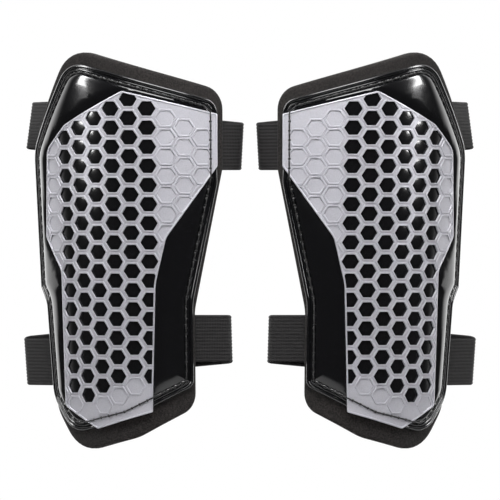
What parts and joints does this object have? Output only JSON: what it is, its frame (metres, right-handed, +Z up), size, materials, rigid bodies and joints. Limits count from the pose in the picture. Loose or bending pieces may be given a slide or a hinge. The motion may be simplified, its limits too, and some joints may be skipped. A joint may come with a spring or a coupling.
{
  "type": "shin guards",
  "caption": "Low-profile shin guards: a curved foam pad under a hard shell with a honeycomb plate, held by elastic calf straps that close with hook and loop.",
  "frame": {"origin": "halfway between the two legs and halfway up the guards, behind their crests; the wearer's shins hold the pair here", "axes": "+Z up the shin, -Y out of the guards' fronts, +X towards the right-hand guard as seen from the front; the guards mirror each other in X = 0"},
  "size_m": [0.2434, 0.0644, 0.211],
  "materials": {
    "lining": "matte knit laminated to the foam",
    "foam": "matte closed-cell foam",
    "shell": "high gloss",
    "plate": "satin silver grey",
    "thread": "twisted polyester",
    "elastic": "ribbed woven elastic",
    "hook": "moulded nylon hooks",
    "loop": "brushed nylon loops"
  },
  "bodies": {
    "guard_left": {"honeycomb_plate_left": "plate", "outer_shell_left": "shell", "foam_pad_left": "foam", "lining_left": "lining", "seam_thread_left": "thread", "upper_strap_inner_side_left": "elastic", "upper_strap_outer_side_left": "elastic", "upper_inner_tack_left": "thread", "upper_outer_tack_left": "thread", "lower_strap_inner_side_left": "elastic", "lower_strap_outer_side_left": "elastic", "lower_inner_tack_left": "thread", "lower_outer_tack_left": "thread"},
    "upper_rear_left": {"upper_strap_inner_back_left": "elastic", "upper_loop_patch_left": "loop"},
    "upper_flap_left": {"upper_strap_outer_back_left": "elastic", "upper_hook_patch_left": "hook"},
    "lower_rear_left": {"lower_strap_inner_back_left": "elastic", "lower_loop_patch_left": "loop"},
    "lower_flap_left": {"lower_strap_outer_back_left": "elastic", "lower_hook_patch_left": "hook"},
    "guard_right": {"honeycomb_plate_right": "plate", "outer_shell_right": "shell", "foam_pad_right": "foam", "lining_right": "lining", "seam_thread_right": "thread", "upper_strap_inner_side_right": "elastic", "upper_strap_outer_side_right": "elastic", "upper_inner_tack_right": "thread", "upper_outer_tack_right": "thread", "lower_strap_inner_side_right": "elastic", "lower_strap_outer_side_right": "elastic", "lower_inner_tack_right": "thread", "lower_outer_tack_right": "thread"},
    "upper_rear_right": {"upper_strap_inner_back_right": "elastic", "upper_loop_patch_right": "loop"},
    "upper_flap_right": {"upper_strap_outer_back_right": "elastic", "upper_hook_patch_right": "hook"},
    "lower_rear_right": {"lower_strap_inner_back_right": "elastic", "lower_loop_patch_right": "loop"},
    "lower_flap_right": {"lower_strap_outer_back_right": "elastic", "lower_hook_patch_right": "hook"}
  },
  "joints": [
    {"name": "pair_spacing", "type": "slide", "parent": "guard_left", "child": "guard_right", "axis": [1, 0, 0], "range_m": [0, 0.15]},
    {"name": "upper_stretch_left", "type": "slide", "parent": "guard_left", "child": "upper_rear_left", "axis": [0, 1, 0], "range_m": [0, 0.065], "stiffness_N_per_m": 150, "deforming": ["upper_strap_inner_side_left", "upper_strap_outer_side_left"]},
    {"name": "upper_opening_left", "type": "hinge", "parent": "upper_rear_left", "child": "upper_flap_left", "pos_m": [-0.11482, 0.02421, 0.06652], "axis": [0, 0, 1], "range_deg": [0, 150]},
    {"name": "lower_stretch_left", "type": "slide", "parent": "guard_left", "child": "lower_rear_left", "axis": [0, 1, 0], "range_m": [0, 0.045], "stiffness_N_per_m": 180, "deforming": ["lower_strap_inner_side_left", "lower_strap_outer_side_left"]},
    {"name": "lower_opening_left", "type": "hinge", "parent": "lower_rear_left", "child": "lower_flap_left", "pos_m": [-0.11711, 0.0244, -0.05919], "axis": [0, 0, 1], "range_deg": [0, 150]},
    {"name": "upper_stretch_right", "type": "slide", "parent": "guard_right", "child": "upper_rear_right", "axis": [0, 1, 0], "range_m": [0, 0.065], "stiffness_N_per_m": 150, "deforming": ["upper_strap_inner_side_right", "upper_strap_outer_side_right"]},
    {"name": "upper_opening_right", "type": "hinge", "parent": "upper_rear_right", "child": "upper_flap_right", "pos_m": [0.11482, 0.02421, 0.06652], "axis": [0, 0, -1], "range_deg": [0, 150]},
    {"name": "lower_stretch_right", "type": "slide", "parent": "guard_right", "child": "lower_rear_right", "axis": [0, 1, 0], "range_m": [0, 0.045], "stiffness_N_per_m": 180, "deforming": ["lower_strap_inner_side_right", "lower_strap_outer_side_right"]},
    {"name": "lower_opening_right", "type": "hinge", "parent": "lower_rear_right", "child": "lower_flap_right", "pos_m": [0.11711, 0.0244, -0.05919], "axis": [0, 0, -1], "range_deg": [0, 150]}
  ]
}
